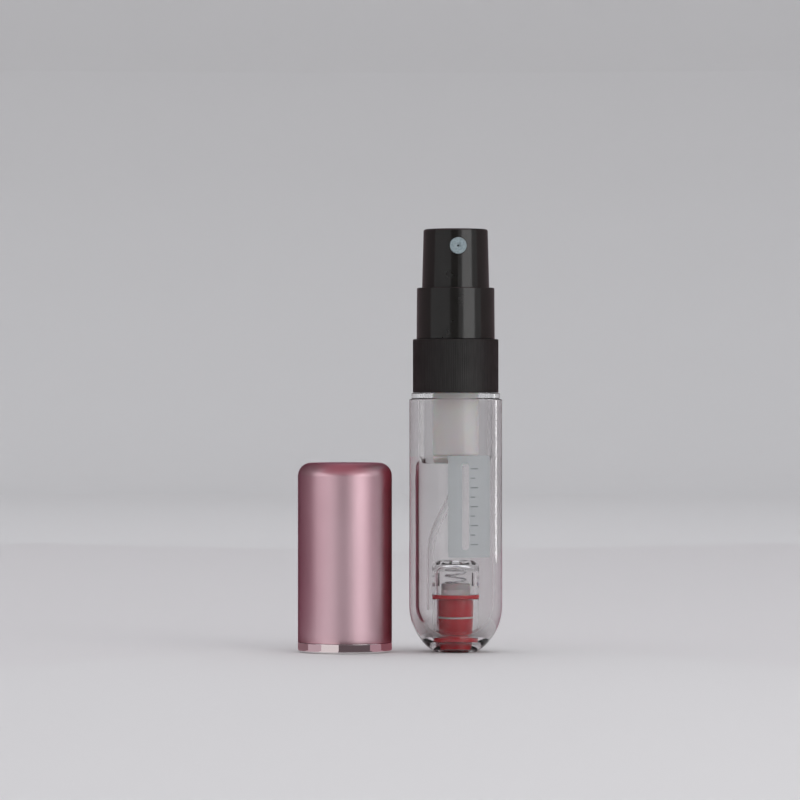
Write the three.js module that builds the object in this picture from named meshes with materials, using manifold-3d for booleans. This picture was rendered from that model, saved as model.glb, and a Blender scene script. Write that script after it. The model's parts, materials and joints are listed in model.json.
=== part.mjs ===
// Refillable perfume atomiser, standing beside its loose cap.
// Millimetres, +Z up, everything stands on z = 0. The bottle holds a crimpless spray pump at the top
// and a push-to-fill valve in its base. The cap stands mouth-down to the bottle's left.

import * as THREE from 'three';
import { mergeVertices } from 'three/addons/utils/BufferGeometryUtils.js';
import Module from 'manifold-3d';

const wasm = await Module();
wasm.setup();

// Layout
const BOTTLE_X = 10.3;
const CAP_X = -10.2;

// Facets around large, medium and small round parts
const LARGE = 32;
const MEDIUM = 24;
const SMALL = 16;

// Clearances: FIT is radial, between a part and the bore it sits or slides in; SEAT is between resting faces
const FIT = 0.05;
const SEAT = 0.03;

// How far a cutter runs past the surface it opens
const PAST = 1;

// Clear bottle
const BOTTLE_R = 8.6;
const BOTTLE_TOP = 46.8;
const BORE_R = 6.85;
const FOOT_R = 3.9;
const NOSE_HALF_HEIGHT = 9.8;
const BOWL_CENTRE_Z = 8.8;
const PORT_R = 2.9;
const PORT_DEPTH = 1.2;
const VALVE_SEAT_Z = 2.57;
const VALVE_SEAT_R = 4.45;

// Neck and closure
const FLANGE_R = 8.2;
const FLANGE_TOP = 47.9;
const SLEEVE_BOTTOM = 34.9;
const NECK_R = 6.6;
const NECK_TOP = 54.9;
const NECK_BEAD_Z = 51;
const BEAD_HEIGHT = 0.25;
const CLOSURE_R = 7.92;
const CLOSURE_TOP = 57.85;
const COLLAR_R_BOTTOM = 7.25;
const COLLAR_R_TOP = 7.18;
const COLLAR_TOP = 67.35;
const COLLAR_BORE = 6.42;

// Actuator
const BUTTON_R_BOTTOM = 6.33;
const BUTTON_R_TOP = 5.95;
const BUTTON_BOTTOM = 63.6;
const BUTTON_TOP = 78.2;
const BUTTON_WALL = 0.9;
const BUTTON_ROOF = 1.1;
const BOSS_R = 2.3;
const BOSS_BOTTOM = 65.2;
const CROSS_BOSS_LENGTH = 5.6;
const NOZZLE_Z = 75;
const NOZZLE_R = 1.55;
const NOZZLE_FACE = 6.05;
const NOZZLE_BACK = 2.7;
const NOZZLE_TURN = THREE.MathUtils.degToRad(4);
const CHANNEL_R = 0.45;

// Spray pump
const PUMP_R = 4.26;
const PUMP_BORE = 3.35;
const PUMP_BOTTOM = 36.3;
const PUMP_FLANGE_R = 6.3;
const PUMP_FLANGE_TOP = 56.6;
const PUMP_FLANGE_HEIGHT = 0.8;
const GASKET = { bore: 4.4, radius: 6.4, height: 0.8 };
const SPRING_LEDGE = 40.5;
const BALL_CAGE_R = 1.35;
const BALL_LIP_R = 0.93;
const BALL_LIP_HEIGHT = 0.35;
const BALL_SEAT_TOP = 38.9;
const BALL_SEAT_BOTTOM = 38;
const BALL_R = 1;
const BALL_Z = 38.97;
const INLET_R = 0.5;
const SPIGOT_BOTTOM = 34.2;
const SPIGOT_R = 1.55;
const STEM_R = 1.4;
const STEM_BOTTOM = 49.4;
const STEM_TOP = 71.8;
const STEM_HEAD_R = 2.2;
const STEM_HEAD_HEIGHT = 0.6;
const PISTON_TOP = 52.9;
const TURRET_TOP = 60.2;
const PUMP_SPRING = { radius: 2.4, wire: 0.22, turns: 7.5 };

// Dip tube: its lower end stands between the refill valve and the bottle's wall
const TUBE_R = 0.75;
const TUBE_BORE = 0.45;
const TUBE_TOP = 36.65;
const TUBE_END = new THREE.Vector3(-4.9, 2.9, 7.4);

// Refill valve
const VALVE_R = 4.35;
const CAGE_TOP = 17;
const CAGE_ROOF = 1;
const CAGE_ROUND = 2.4;
const CAGE_BORE = 3.4;
const VENT_R = 0.9;
const WINDOW = { width: 2, bottom: 12.2, top: 14.6, count: 2 };
const SOCKET_FLANGE_HEIGHT = 0.8;
const SOCKET_TOP = 6.1;
const SOCKET_R = 3.25;
const SOCKET_BORE = 2.1;
const FUNNEL_TOP = 2.4;
const SEAL_HEIGHT = 0.3;
const SEAL_BORE = 1.7;
const SEAT_TOP = 10.6;
const SEAT_FLANGE_HEIGHT = 0.7;
const SEAT_CONE = { bottom: 9.9, radius: 2.75 };
const POPPET_BOTTOM = 5.4;
const POPPET_STEM_R = 1.4;
const POPPET_PIN_R = 1;
const POPPET_TOP = 12.7;
const POPPET_CUP = { radius: 2.2, floor: 11.5 };
const VALVE_SPRING = { radius: 1.9, wire: 0.17, turns: 4.5 };

// Level panel printed on the bottle's front, as angles from the front towards +X
const PANEL = { from: -10, to: 46, bottom: 17.7, top: 36.4, inner: 8.63, outer: 8.68 };

// Cap
const CAP_R = 8.7;
const CAP_HEIGHT = 35;
const CAP_CORNER = 2.4;
const CAP_WALL = 0.4;
const RIM_HEIGHT = 1.8;
const RIM_LIP = 0.8;
const RIM_BORE = 7.97;
const LINER_R = 8.25;
const GRIP_BORE = 7.98;
const GRIP_TOP = 10.8;
const LINER_BORE = 7.5;
const LINER_CEILING = 31.6;
const LINER_TOP = 33;

// Finishes
const FINISHES = {
  clear: { color: '#dfe3e3', roughness: 0.05, metalness: 0, transparent: true, opacity: 0.35 },
  glossBlack: { color: '#24211f', roughness: 0.18, metalness: 0 },
  satinBlack: { color: '#2c2a28', roughness: 0.5, metalness: 0 },
  pink: { color: '#bd8299', roughness: 0.3, metalness: 0.9 },
  polished: { color: '#d8d2d2', roughness: 0.08, metalness: 1 },
  steel: { color: '#b9bcc0', roughness: 0.25, metalness: 1 },
  natural: { color: '#e6e6e2', roughness: 0.4, metalness: 0 },
  nozzle: { color: '#a9bcc2', roughness: 0.35, metalness: 0 },
  red: { color: '#9a2430', roughness: 0.3, metalness: 0 },
  grey: { color: '#8b8d8f', roughness: 0.6, metalness: 0 },
  print: { color: '#c9cfd0', roughness: 0.6, metalness: 0 },
};

// Points of an elliptical arc; angles in degrees, from +r towards +z
function arc(centre, radii, from, to, steps) {
  return Array.from({ length: steps + 1 }, (_, i) => {
    const angle = THREE.MathUtils.degToRad(from + ((to - from) * i) / steps);
    return [centre[0] + radii[0] * Math.cos(angle), centre[1] + radii[1] * Math.sin(angle)];
  });
}

// Turns a profile of [radius, height] points around +Z; the material lies left of the direction of travel
function lathe(profile, segments = LARGE) {
  const points = profile.map(([r, z]) => new THREE.Vector2(r, z));
  return new THREE.LatheGeometry(points, segments).rotateX(Math.PI / 2);
}

function closed(profile) {
  return [...profile, profile[0]];
}

// Rectangular ring between two radii and two heights
function ring(inner, outer, bottom, top, segments) {
  return lathe(closed([[inner, bottom], [outer, bottom], [outer, top], [inner, top]]), segments);
}

// Solid rod between two heights
function rod(radius, bottom, top, segments = SMALL) {
  return lathe([[0, bottom], [radius, bottom], [radius, top], [0, top]], segments);
}

function toSolid(geometry) {
  const bare = geometry.clone();
  bare.deleteAttribute('normal');
  bare.deleteAttribute('uv');
  const merged = mergeVertices(bare, 1e-5);
  const vertProperties = new Float32Array(merged.attributes.position.array);
  const triVerts = new Uint32Array(merged.index.array);
  return new wasm.Manifold(new wasm.Mesh({ numProp: 3, vertProperties, triVerts }));
}

function toGeometry(solid) {
  const mesh = solid.getMesh();
  const geometry = new THREE.BufferGeometry();
  geometry.setAttribute('position', new THREE.BufferAttribute(mesh.vertProperties, 3));
  geometry.setIndex(new THREE.BufferAttribute(mesh.triVerts, 1));
  geometry.computeVertexNormals();
  return geometry;
}

// Lays a shape that was turned around +Z along the nozzle's line, from the axis out to the front
function alongNozzle(geometry) {
  return geometry.rotateX(Math.PI / 2).rotateZ(NOZZLE_TURN).translate(0, 0, NOZZLE_Z);
}

class Helix extends THREE.Curve {
  constructor(radius, bottom, top, turns) {
    super();
    Object.assign(this, { radius, bottom, top, turns });
  }

  getPoint(t, target = new THREE.Vector3()) {
    const angle = 2 * Math.PI * this.turns * t;
    const height = this.bottom + (this.top - this.bottom) * t;
    return target.set(this.radius * Math.cos(angle), this.radius * Math.sin(angle), height);
  }
}

// Coil spring whose wire fills the height between two seats
function spring({ radius, wire, turns }, bottom, top) {
  const halfSides = 3;
  const stepsPerTurn = 12;
  const inset = wire + SEAT;
  const path = new Helix(radius, bottom + inset, top - inset, turns);
  const section = new THREE.Shape().absarc(0, 0, wire, 0, 2 * Math.PI);
  const options = { extrudePath: path, steps: turns * stepsPerTurn, curveSegments: halfSides };
  return new THREE.ExtrudeGeometry(section, options);
}

// Round-nosed bottle, a bowl inside, with a stepped bore for the valve's socket in the middle of the bowl.
// It stands on the flat ring around the filling port
function clearBottle() {
  const noseCentre = NOSE_HALF_HEIGHT * Math.sqrt(1 - (FOOT_R / BOTTLE_R) ** 2);
  const footAngle = -THREE.MathUtils.radToDeg(Math.acos(FOOT_R / BOTTLE_R));
  const bowlAngle = -THREE.MathUtils.radToDeg(Math.acos(VALVE_SEAT_R / BORE_R));
  const socketBore = SOCKET_R + FIT;
  const edge = 0.2;
  return lathe(closed([
    [PORT_R, 0],
    ...arc([0, noseCentre], [BOTTLE_R, NOSE_HALF_HEIGHT], footAngle, 0, 8),
    [BOTTLE_R, BOTTLE_TOP - edge],
    [BOTTLE_R - edge, BOTTLE_TOP],
    [BORE_R, BOTTLE_TOP],
    ...arc([0, BOWL_CENTRE_Z], [BORE_R, BORE_R], 0, bowlAngle, 6),
    [VALVE_SEAT_R, VALVE_SEAT_Z],
    [socketBore, VALVE_SEAT_Z],
    [socketBore, PORT_DEPTH],
    [PORT_R, PORT_DEPTH],
  ]));
}

function neckInsert() {
  const sleeveOuter = BORE_R - 0.07;
  const sleeveInner = 5.9;
  const pumpHole = 4.45;
  const chamfer = { radius: 6.2, height: 1.3 };
  return lathe(closed([
    [sleeveInner, SLEEVE_BOTTOM],
    [chamfer.radius, SLEEVE_BOTTOM],
    [sleeveOuter, SLEEVE_BOTTOM + chamfer.height],
    [sleeveOuter, BOTTLE_TOP + SEAT],
    [FLANGE_R, BOTTLE_TOP + SEAT],
    [FLANGE_R, FLANGE_TOP],
    [NECK_R, FLANGE_TOP],
    [NECK_R, NECK_BEAD_Z - BEAD_HEIGHT],
    [NECK_R + BEAD_HEIGHT, NECK_BEAD_Z],
    [NECK_R, NECK_BEAD_Z + BEAD_HEIGHT],
    [NECK_R, NECK_TOP],
    [pumpHole, NECK_TOP],
    [pumpHole, BOTTLE_TOP + SEAT],
    [sleeveInner, BOTTLE_TOP + SEAT],
  ]));
}

function closureRing() {
  const bottom = FLANGE_TOP + FIT;
  const bore = NECK_R + 2 * FIT;
  const flangeBottom = PUMP_FLANGE_TOP + FIT;
  const hole = 4.35;
  const edge = 0.2;
  return lathe(closed([
    [bore, bottom],
    [CLOSURE_R - edge, bottom],
    [CLOSURE_R, bottom + edge],
    [CLOSURE_R, CLOSURE_TOP - edge],
    [CLOSURE_R - edge, CLOSURE_TOP],
    [hole, CLOSURE_TOP],
    [hole, flangeBottom],
    [bore, flangeBottom],
    [bore, NECK_BEAD_Z + BEAD_HEIGHT],
    [bore + BEAD_HEIGHT, NECK_BEAD_Z],
    [bore, NECK_BEAD_Z - BEAD_HEIGHT],
  ]));
}

function collarSleeve() {
  const bottom = CLOSURE_TOP + SEAT;
  const plateTop = 58.9;
  const hole = 4.6;
  const edge = 0.15;
  return lathe(closed([
    [hole, bottom],
    [COLLAR_R_BOTTOM, bottom],
    [COLLAR_R_TOP, COLLAR_TOP - edge],
    [COLLAR_R_TOP - edge, COLLAR_TOP],
    [COLLAR_BORE, COLLAR_TOP],
    [COLLAR_BORE, plateTop],
    [hole, plateTop],
  ]));
}

// Hollow button with a central boss on the pump's stem and a cross boss that holds the nozzle
function actuatorButton() {
  const roof = BUTTON_TOP - BUTTON_ROOF;
  const edge = 0.4;
  const socket = STEM_R + FIT;
  const socketTop = STEM_TOP + SEAT;
  const shell = toSolid(lathe([
    [0, socketTop],
    [socket, socketTop],
    [socket, BOSS_BOTTOM],
    [BOSS_R, BOSS_BOTTOM],
    [BOSS_R, roof],
    [BUTTON_R_TOP - BUTTON_WALL, roof],
    [BUTTON_R_BOTTOM - BUTTON_WALL, BUTTON_BOTTOM],
    [BUTTON_R_BOTTOM, BUTTON_BOTTOM],
    ...arc([BUTTON_R_TOP - edge, BUTTON_TOP - edge], [edge, edge], 0, 90, 3),
    [0, BUTTON_TOP],
  ]));
  const crossBoss = toSolid(alongNozzle(rod(BOSS_R, 0, CROSS_BOSS_LENGTH)));
  const nozzleBore = toSolid(alongNozzle(rod(NOZZLE_R + FIT, NOZZLE_BACK - FIT, NOZZLE_FACE + PAST)));
  const crossChannel = toSolid(alongNozzle(rod(CHANNEL_R, 0, NOZZLE_BACK)));
  const riser = toSolid(rod(CHANNEL_R, socketTop - PAST, NOZZLE_Z));
  return toGeometry(shell.add(crossBoss).subtract(nozzleBore).subtract(crossChannel).subtract(riser));
}

// Cup with a swirl chamber behind the orifice
function nozzleInsert() {
  const chamber = { radius: 1, depth: 2.4 };
  const dimple = { radius: 0.55, depth: 0.25 };
  const orifice = 0.15;
  const edge = 0.15;
  return alongNozzle(lathe(closed([
    [chamber.radius, NOZZLE_BACK],
    [NOZZLE_R, NOZZLE_BACK],
    [NOZZLE_R, NOZZLE_FACE - edge],
    [NOZZLE_R - edge, NOZZLE_FACE],
    [dimple.radius, NOZZLE_FACE],
    [orifice, NOZZLE_FACE - dimple.depth],
    [orifice, NOZZLE_BACK + chamber.depth],
    [chamber.radius, NOZZLE_BACK + chamber.depth],
  ]), SMALL));
}

function pumpHousing() {
  const taper = 0.26;
  const spigotTop = PUMP_BOTTOM - 0.7;
  const tubeSocket = TUBE_R + FIT;
  const tubeStop = TUBE_TOP + FIT;
  return lathe(closed([
    [tubeSocket, SPIGOT_BOTTOM],
    [SPIGOT_R, SPIGOT_BOTTOM],
    [SPIGOT_R, spigotTop],
    [PUMP_R - taper, PUMP_BOTTOM],
    [PUMP_R, PUMP_BOTTOM + taper],
    [PUMP_R, PUMP_FLANGE_TOP - PUMP_FLANGE_HEIGHT],
    [PUMP_FLANGE_R, PUMP_FLANGE_TOP - PUMP_FLANGE_HEIGHT],
    [PUMP_FLANGE_R, PUMP_FLANGE_TOP],
    [PUMP_BORE, PUMP_FLANGE_TOP],
    [PUMP_BORE, SPRING_LEDGE],
    [BALL_LIP_R, SPRING_LEDGE],
    [BALL_LIP_R, SPRING_LEDGE - BALL_LIP_HEIGHT],
    [BALL_CAGE_R, SPRING_LEDGE - BALL_LIP_HEIGHT],
    [BALL_CAGE_R, BALL_SEAT_TOP],
    [INLET_R, BALL_SEAT_BOTTOM],
    [INLET_R, tubeStop],
    [tubeSocket, tubeStop],
  ]), MEDIUM);
}

function pumpGasket() {
  const bottom = NECK_TOP + SEAT;
  return ring(GASKET.bore, GASKET.radius, bottom, bottom + GASKET.height, MEDIUM);
}

// Plug that closes the pump's top around the stem and stops the piston
function pumpTurret() {
  const bore = STEM_R + 0.07;
  const plug = PUMP_BORE - 0.07;
  const bottom = PISTON_TOP + 0.1;
  const flange = { radius: 4.2, bottom: PUMP_FLANGE_TOP + SEAT, top: 57.5 };
  const nose = { bottomRadius: 2.9, topRadius: 2.6 };
  return lathe(closed([
    [bore, bottom],
    [plug, bottom],
    [plug, flange.bottom],
    [flange.radius, flange.bottom],
    [flange.radius, flange.top],
    [nose.bottomRadius, flange.top],
    [nose.topRadius, TURRET_TOP],
    [bore, TURRET_TOP],
  ]), MEDIUM);
}

function pumpStem() {
  const boreBottom = 51.3;
  const sidePortZ = 51.9;
  const sidePortR = 0.3;
  const stem = toSolid(lathe([
    [0, STEM_BOTTOM],
    [STEM_HEAD_R, STEM_BOTTOM],
    [STEM_HEAD_R, STEM_BOTTOM + STEM_HEAD_HEIGHT],
    [STEM_R, STEM_BOTTOM + STEM_HEAD_HEIGHT],
    [STEM_R, STEM_TOP],
    [CHANNEL_R, STEM_TOP],
    [CHANNEL_R, boreBottom],
    [0, boreBottom],
  ], SMALL));
  const sidePort = rod(sidePortR, -STEM_R - PAST, STEM_R + PAST, SMALL / 2)
    .rotateY(Math.PI / 2)
    .translate(0, 0, sidePortZ);
  return toGeometry(stem.subtract(toSolid(sidePort)));
}

// Double-lipped piston on the stem, above the stem's head
function pumpPiston() {
  const bore = STEM_R + FIT;
  const lip = PUMP_BORE - 0.07;
  const waist = 2.9;
  const lipEnd = 0.3;
  const lipRoot = 1.1;
  const bottom = STEM_BOTTOM + STEM_HEAD_HEIGHT + FIT;
  return lathe(closed([
    [bore, bottom],
    [waist, bottom],
    [lip, bottom + lipEnd],
    [waist, bottom + lipRoot],
    [waist, PISTON_TOP - lipRoot],
    [lip, PISTON_TOP - lipEnd],
    [waist, PISTON_TOP],
    [bore, PISTON_TOP],
  ]), MEDIUM);
}

function pumpSpring() {
  return spring(PUMP_SPRING, SPRING_LEDGE, STEM_BOTTOM);
}

function inletBall() {
  return new THREE.SphereGeometry(BALL_R, SMALL, SMALL / 2).rotateX(Math.PI / 2).translate(0, 0, BALL_Z);
}

// Straight out of the pump, over to the wall in one S-bend, then straight down beside the valve
function dipTube() {
  const bendTop = new THREE.Vector3(0, 0, 33.6);
  const bendBottom = TUBE_END.clone().setZ(17.5);
  const pull = 7;
  const path = new THREE.CurvePath();
  path.add(new THREE.LineCurve3(new THREE.Vector3(0, 0, TUBE_TOP), bendTop));
  path.add(new THREE.CubicBezierCurve3(
    bendTop,
    bendTop.clone().setZ(bendTop.z - pull),
    bendBottom.clone().setZ(bendBottom.z + pull),
    bendBottom,
  ));
  path.add(new THREE.LineCurve3(bendBottom, TUBE_END));
  const section = new THREE.Shape().absarc(0, 0, TUBE_R, 0, 2 * Math.PI);
  section.holes.push(new THREE.Path().absarc(0, 0, TUBE_BORE, 0, 2 * Math.PI, true));
  return new THREE.ExtrudeGeometry(section, { extrudePath: path, steps: 24, curveSegments: 5 });
}

// Clear tube around the red sleeve, from the socket's flange up to the seat's flange
function valveSleeve() {
  const bottom = VALVE_SEAT_Z + SOCKET_FLANGE_HEIGHT + 2 * SEAT;
  const top = SEAT_TOP - SEAT_FLANGE_HEIGHT - SEAT;
  return ring(SOCKET_R + FIT, VALVE_R, bottom, top, MEDIUM);
}

// Clear cage on the seat's flange, with windows at its sides that let the perfume through
function valveCage() {
  const bottom = SEAT_TOP + SEAT;
  const roofBottom = CAGE_TOP - CAGE_ROOF;
  const chamfer = 0.8;
  let cage = toSolid(lathe(closed([
    [CAGE_BORE, bottom],
    [VALVE_R, bottom],
    ...arc([VALVE_R - CAGE_ROUND, CAGE_TOP - CAGE_ROUND], [CAGE_ROUND, CAGE_ROUND], 0, 90, 4),
    [VENT_R, CAGE_TOP],
    [VENT_R, roofBottom],
    [CAGE_BORE - chamfer, roofBottom],
    [CAGE_BORE, roofBottom - chamfer],
  ]), MEDIUM));
  for (let i = 0; i < WINDOW.count; i += 1) {
    const height = WINDOW.top - WINDOW.bottom;
    const window = new THREE.BoxGeometry(3 * PAST, WINDOW.width, height)
      .translate(VALVE_R, 0, WINDOW.bottom + height / 2)
      .rotateZ((i * 2 * Math.PI) / WINDOW.count);
    cage = cage.subtract(toSolid(window));
  }
  return toGeometry(cage);
}

// Red socket that takes the stem of the bottle it is filled from
function refillSocket() {
  const bottom = PORT_DEPTH + SEAT;
  const flange = VALVE_SEAT_R - FIT;
  const flangeBottom = VALVE_SEAT_Z + SEAT;
  const flangeTop = flangeBottom + SOCKET_FLANGE_HEIGHT;
  return lathe(closed([
    [PORT_R, bottom],
    [SOCKET_R, bottom],
    [SOCKET_R, flangeBottom],
    [flange, flangeBottom],
    [flange, flangeTop],
    [SOCKET_R, flangeTop],
    [SOCKET_R, SOCKET_TOP],
    [SOCKET_BORE, SOCKET_TOP],
    [SOCKET_BORE, FUNNEL_TOP],
  ]), MEDIUM);
}

function stemSeal() {
  const bottom = SOCKET_TOP + SEAT;
  return ring(SEAL_BORE, SOCKET_R, bottom, bottom + SEAL_HEIGHT, MEDIUM);
}

function valveSeat() {
  const bottom = SOCKET_TOP + SEAL_HEIGHT + 2 * SEAT;
  return lathe(closed([
    [SOCKET_BORE, bottom],
    [SOCKET_R, bottom],
    [SOCKET_R, SEAT_TOP - SEAT_FLANGE_HEIGHT],
    [VALVE_R, SEAT_TOP - SEAT_FLANGE_HEIGHT],
    [VALVE_R, SEAT_TOP],
    [SEAT_CONE.radius, SEAT_TOP],
    [SOCKET_BORE, SEAT_CONE.bottom],
  ]), MEDIUM);
}

// Spring-loaded cone that the filling stem lifts off its seat, with a cup on top for the spring
function valvePoppet() {
  const tip = 0.2;
  const head = SEAT_CONE.radius - FIT;
  return lathe([
    [0, POPPET_BOTTOM],
    [POPPET_STEM_R - tip, POPPET_BOTTOM],
    [POPPET_STEM_R, POPPET_BOTTOM + tip],
    [POPPET_STEM_R, SEAT_CONE.bottom - tip],
    [SOCKET_BORE - FIT, SEAT_CONE.bottom + SEAT],
    [head, SEAT_TOP + SEAT],
    [head, POPPET_TOP],
    [POPPET_CUP.radius, POPPET_TOP],
    [POPPET_CUP.radius, POPPET_CUP.floor],
    [POPPET_PIN_R, POPPET_CUP.floor],
    [POPPET_PIN_R, POPPET_TOP - tip],
    [POPPET_PIN_R - tip, POPPET_TOP],
    [0, POPPET_TOP],
  ], SMALL);
}

function valveSpring() {
  return spring(VALVE_SPRING, POPPET_CUP.floor, CAGE_TOP - CAGE_ROOF);
}

// Thin curved panel just proud of the bottle's front
function levelPrint() {
  const front = -90;
  const from = THREE.MathUtils.degToRad(front + PANEL.from);
  const to = THREE.MathUtils.degToRad(front + PANEL.to);
  const outline = new THREE.Shape()
    .absarc(0, 0, PANEL.outer, from, to)
    .absarc(0, 0, PANEL.inner, to, from, true);
  const options = { depth: PANEL.top - PANEL.bottom, bevelEnabled: false, curveSegments: 8 };
  return new THREE.ExtrudeGeometry(outline, options).translate(0, 0, PANEL.bottom);
}

function capShell() {
  const bottom = RIM_HEIGHT + SEAT;
  const centre = [CAP_R - CAP_CORNER, CAP_HEIGHT - CAP_CORNER];
  const inner = CAP_CORNER - CAP_WALL;
  return lathe([
    [0, CAP_HEIGHT - CAP_WALL],
    ...arc(centre, [inner, inner], 90, 0, 4),
    [CAP_R - CAP_WALL, bottom],
    [CAP_R, bottom],
    ...arc(centre, [CAP_CORNER, CAP_CORNER], 0, 90, 5),
    [0, CAP_HEIGHT],
  ]);
}

// Plastic cup inside the cap; its lower stretch grips the closure ring
function capLiner() {
  const corner = 0.7;
  return lathe([
    [0, LINER_CEILING],
    [LINER_BORE - corner, LINER_CEILING],
    [LINER_BORE, LINER_CEILING - corner],
    [LINER_BORE, GRIP_TOP + corner],
    [GRIP_BORE, GRIP_TOP],
    [GRIP_BORE, RIM_LIP + FIT],
    [LINER_R, RIM_LIP + FIT],
    [LINER_R, LINER_TOP - corner],
    [LINER_R - corner, LINER_TOP],
    [0, LINER_TOP],
  ]);
}

function capRim() {
  const round = { width: 0.4, height: 0.7 };
  const bore = LINER_R + 0.07;
  return lathe(closed([
    [RIM_BORE, 0],
    ...arc([CAP_R - round.width, round.height], [round.width, round.height], -90, 0, 4),
    [CAP_R, RIM_HEIGHT],
    [bore, RIM_HEIGHT],
    [bore, RIM_LIP],
    [RIM_BORE, RIM_LIP],
  ]));
}

function part(name, geometry, finish) {
  const mesh = new THREE.Mesh(geometry, new THREE.MeshStandardMaterial(FINISHES[finish]));
  mesh.name = name;
  return mesh;
}

const bottle = new THREE.Group();
bottle.position.x = BOTTLE_X;
bottle.add(
  part('clear_bottle', clearBottle(), 'clear'),
  part('level_print', levelPrint(), 'print'),
  part('neck_insert', neckInsert(), 'clear'),
  part('closure_ring', closureRing(), 'satinBlack'),
  part('collar_sleeve', collarSleeve(), 'glossBlack'),
  part('actuator_button', actuatorButton(), 'glossBlack'),
  part('nozzle_insert', nozzleInsert(), 'nozzle'),
  part('pump_housing', pumpHousing(), 'clear'),
  part('pump_gasket', pumpGasket(), 'grey'),
  part('pump_turret', pumpTurret(), 'natural'),
  part('pump_stem', pumpStem(), 'natural'),
  part('pump_piston', pumpPiston(), 'natural'),
  part('pump_spring', pumpSpring(), 'steel'),
  part('inlet_ball', inletBall(), 'steel'),
  part('dip_tube', dipTube(), 'clear'),
  part('valve_sleeve', valveSleeve(), 'clear'),
  part('valve_cage', valveCage(), 'clear'),
  part('refill_socket', refillSocket(), 'red'),
  part('stem_seal', stemSeal(), 'natural'),
  part('valve_seat', valveSeat(), 'red'),
  part('valve_poppet', valvePoppet(), 'natural'),
  part('valve_spring', valveSpring(), 'steel'),
);

const cap = new THREE.Group();
cap.position.x = CAP_X;
cap.add(
  part('cap_shell', capShell(), 'pink'),
  part('cap_liner', capLiner(), 'natural'),
  part('cap_rim', capRim(), 'polished'),
);

const atomiser = new THREE.Group();
atomiser.add(bottle, cap);

export default atomiser;
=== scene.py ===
"""Refillable perfume atomiser and its cap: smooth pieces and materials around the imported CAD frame.

Profiles are in millimetres from a piece's own axis.
Blender objects are in metres, in the frame of the CAD.
"""

import json
import math

import bmesh
import bpy
from mathutils import Matrix, Vector


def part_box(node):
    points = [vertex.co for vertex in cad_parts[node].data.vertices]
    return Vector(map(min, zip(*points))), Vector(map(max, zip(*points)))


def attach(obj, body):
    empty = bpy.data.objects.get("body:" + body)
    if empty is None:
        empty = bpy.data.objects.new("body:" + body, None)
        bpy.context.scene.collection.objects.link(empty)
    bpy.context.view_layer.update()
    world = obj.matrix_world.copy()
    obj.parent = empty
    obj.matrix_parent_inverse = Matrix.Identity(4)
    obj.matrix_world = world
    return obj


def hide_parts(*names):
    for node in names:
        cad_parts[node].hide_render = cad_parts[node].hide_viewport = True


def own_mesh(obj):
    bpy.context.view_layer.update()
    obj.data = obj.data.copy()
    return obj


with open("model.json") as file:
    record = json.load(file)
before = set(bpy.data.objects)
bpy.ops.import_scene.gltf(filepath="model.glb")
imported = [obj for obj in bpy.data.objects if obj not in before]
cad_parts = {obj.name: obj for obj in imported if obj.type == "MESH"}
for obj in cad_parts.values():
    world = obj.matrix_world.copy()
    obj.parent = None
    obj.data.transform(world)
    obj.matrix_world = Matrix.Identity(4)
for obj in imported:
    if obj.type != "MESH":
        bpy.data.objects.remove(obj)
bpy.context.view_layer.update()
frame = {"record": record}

MM = 0.001

# Camera: the picture's width at the object, and the point it looks at, in metres
VIEW_WIDTH = 0.1481
VIEW_CENTRE = Vector((0.0, 0.0, 0.0466))
LENS = 200
SENSOR = 36

# The point that every lamp is aimed at, and how far the reflection cards and the painted rim reflection
# strips lie above the floor
LAMP_AIM = Vector((0, 0, 0.04))
CARD_LIFT = 0.0001

# Turned pieces: facets round them, the turn of one step of a rounded edge, and the width of the narrow
# face kept beside each rounded edge so that flat faces stay flat in shading
SEGMENTS = 128
ARC_STEP = math.radians(15)
SUPPORT = 0.04
SHARP_ANGLE = math.radians(32)

# The most of an outline's side that one rounded corner may take, and the radius taken as on the axis
LARGEST_SHARE = 0.45
ON_AXIS = 1e-6


def axis_of(node):
    low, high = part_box(node)
    return Vector(((low.x + high.x) / 2, (low.y + high.y) / 2, 0))


def span(node):
    """Outer radius, bottom and top of a round CAD node, in millimetres."""
    low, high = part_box(node)
    return (high.x - low.x) / 2 / MM, low.z / MM, high.z / MM


BOTTLE_AXIS = axis_of("clear_bottle")
CAP_AXIS = axis_of("cap_shell")


# ---------------------------------------------------------------- outlines

def fillet(before, corner, after, radius):
    """The corner as an arc of this radius, or the largest that fits, with a support point at each end."""
    back = (before - corner).normalized()
    ahead = (after - corner).normalized()
    half = back.angle(ahead) / 2
    room = LARGEST_SHARE * min((before - corner).length, (after - corner).length)
    reach = min(radius / math.tan(half), room)
    radius = reach * math.tan(half)
    centre = corner + (back + ahead).normalized() * (radius / math.sin(half))
    turn = math.pi - 2 * half
    if back.x * ahead.y - back.y * ahead.x > 0:
        turn = -turn
    steps = max(2, math.ceil(abs(turn) / ARC_STEP))
    spoke = corner + back * reach - centre
    side = min(SUPPORT, room - reach + SUPPORT / 4)
    arc = []
    for i in range(steps + 1):
        angle = turn * i / steps
        cosine, sine = math.cos(angle), math.sin(angle)
        x = spoke.x * cosine - spoke.y * sine
        y = spoke.x * sine + spoke.y * cosine
        arc.append(centre + Vector((x, y)))
    return [corner + back * (reach + side), *arc, corner + ahead * (reach + side)]


def rounded(corners):
    """Rounds an outline and says whether it is a loop, which it is when it starts off the axis.

    Corners are (radius, height) or (radius, height, fillet).
    """
    points = [Vector(corner[:2]) for corner in corners]
    loop = points[0].x > 0
    outline = []
    for i, corner in enumerate(corners):
        inner = loop or 0 < i < len(corners) - 1
        if len(corner) == 3 and inner:
            outline += fillet(points[i - 1], points[i], points[(i + 1) % len(points)], corner[2])
        else:
            outline.append(points[i])
    return outline, loop


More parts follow.
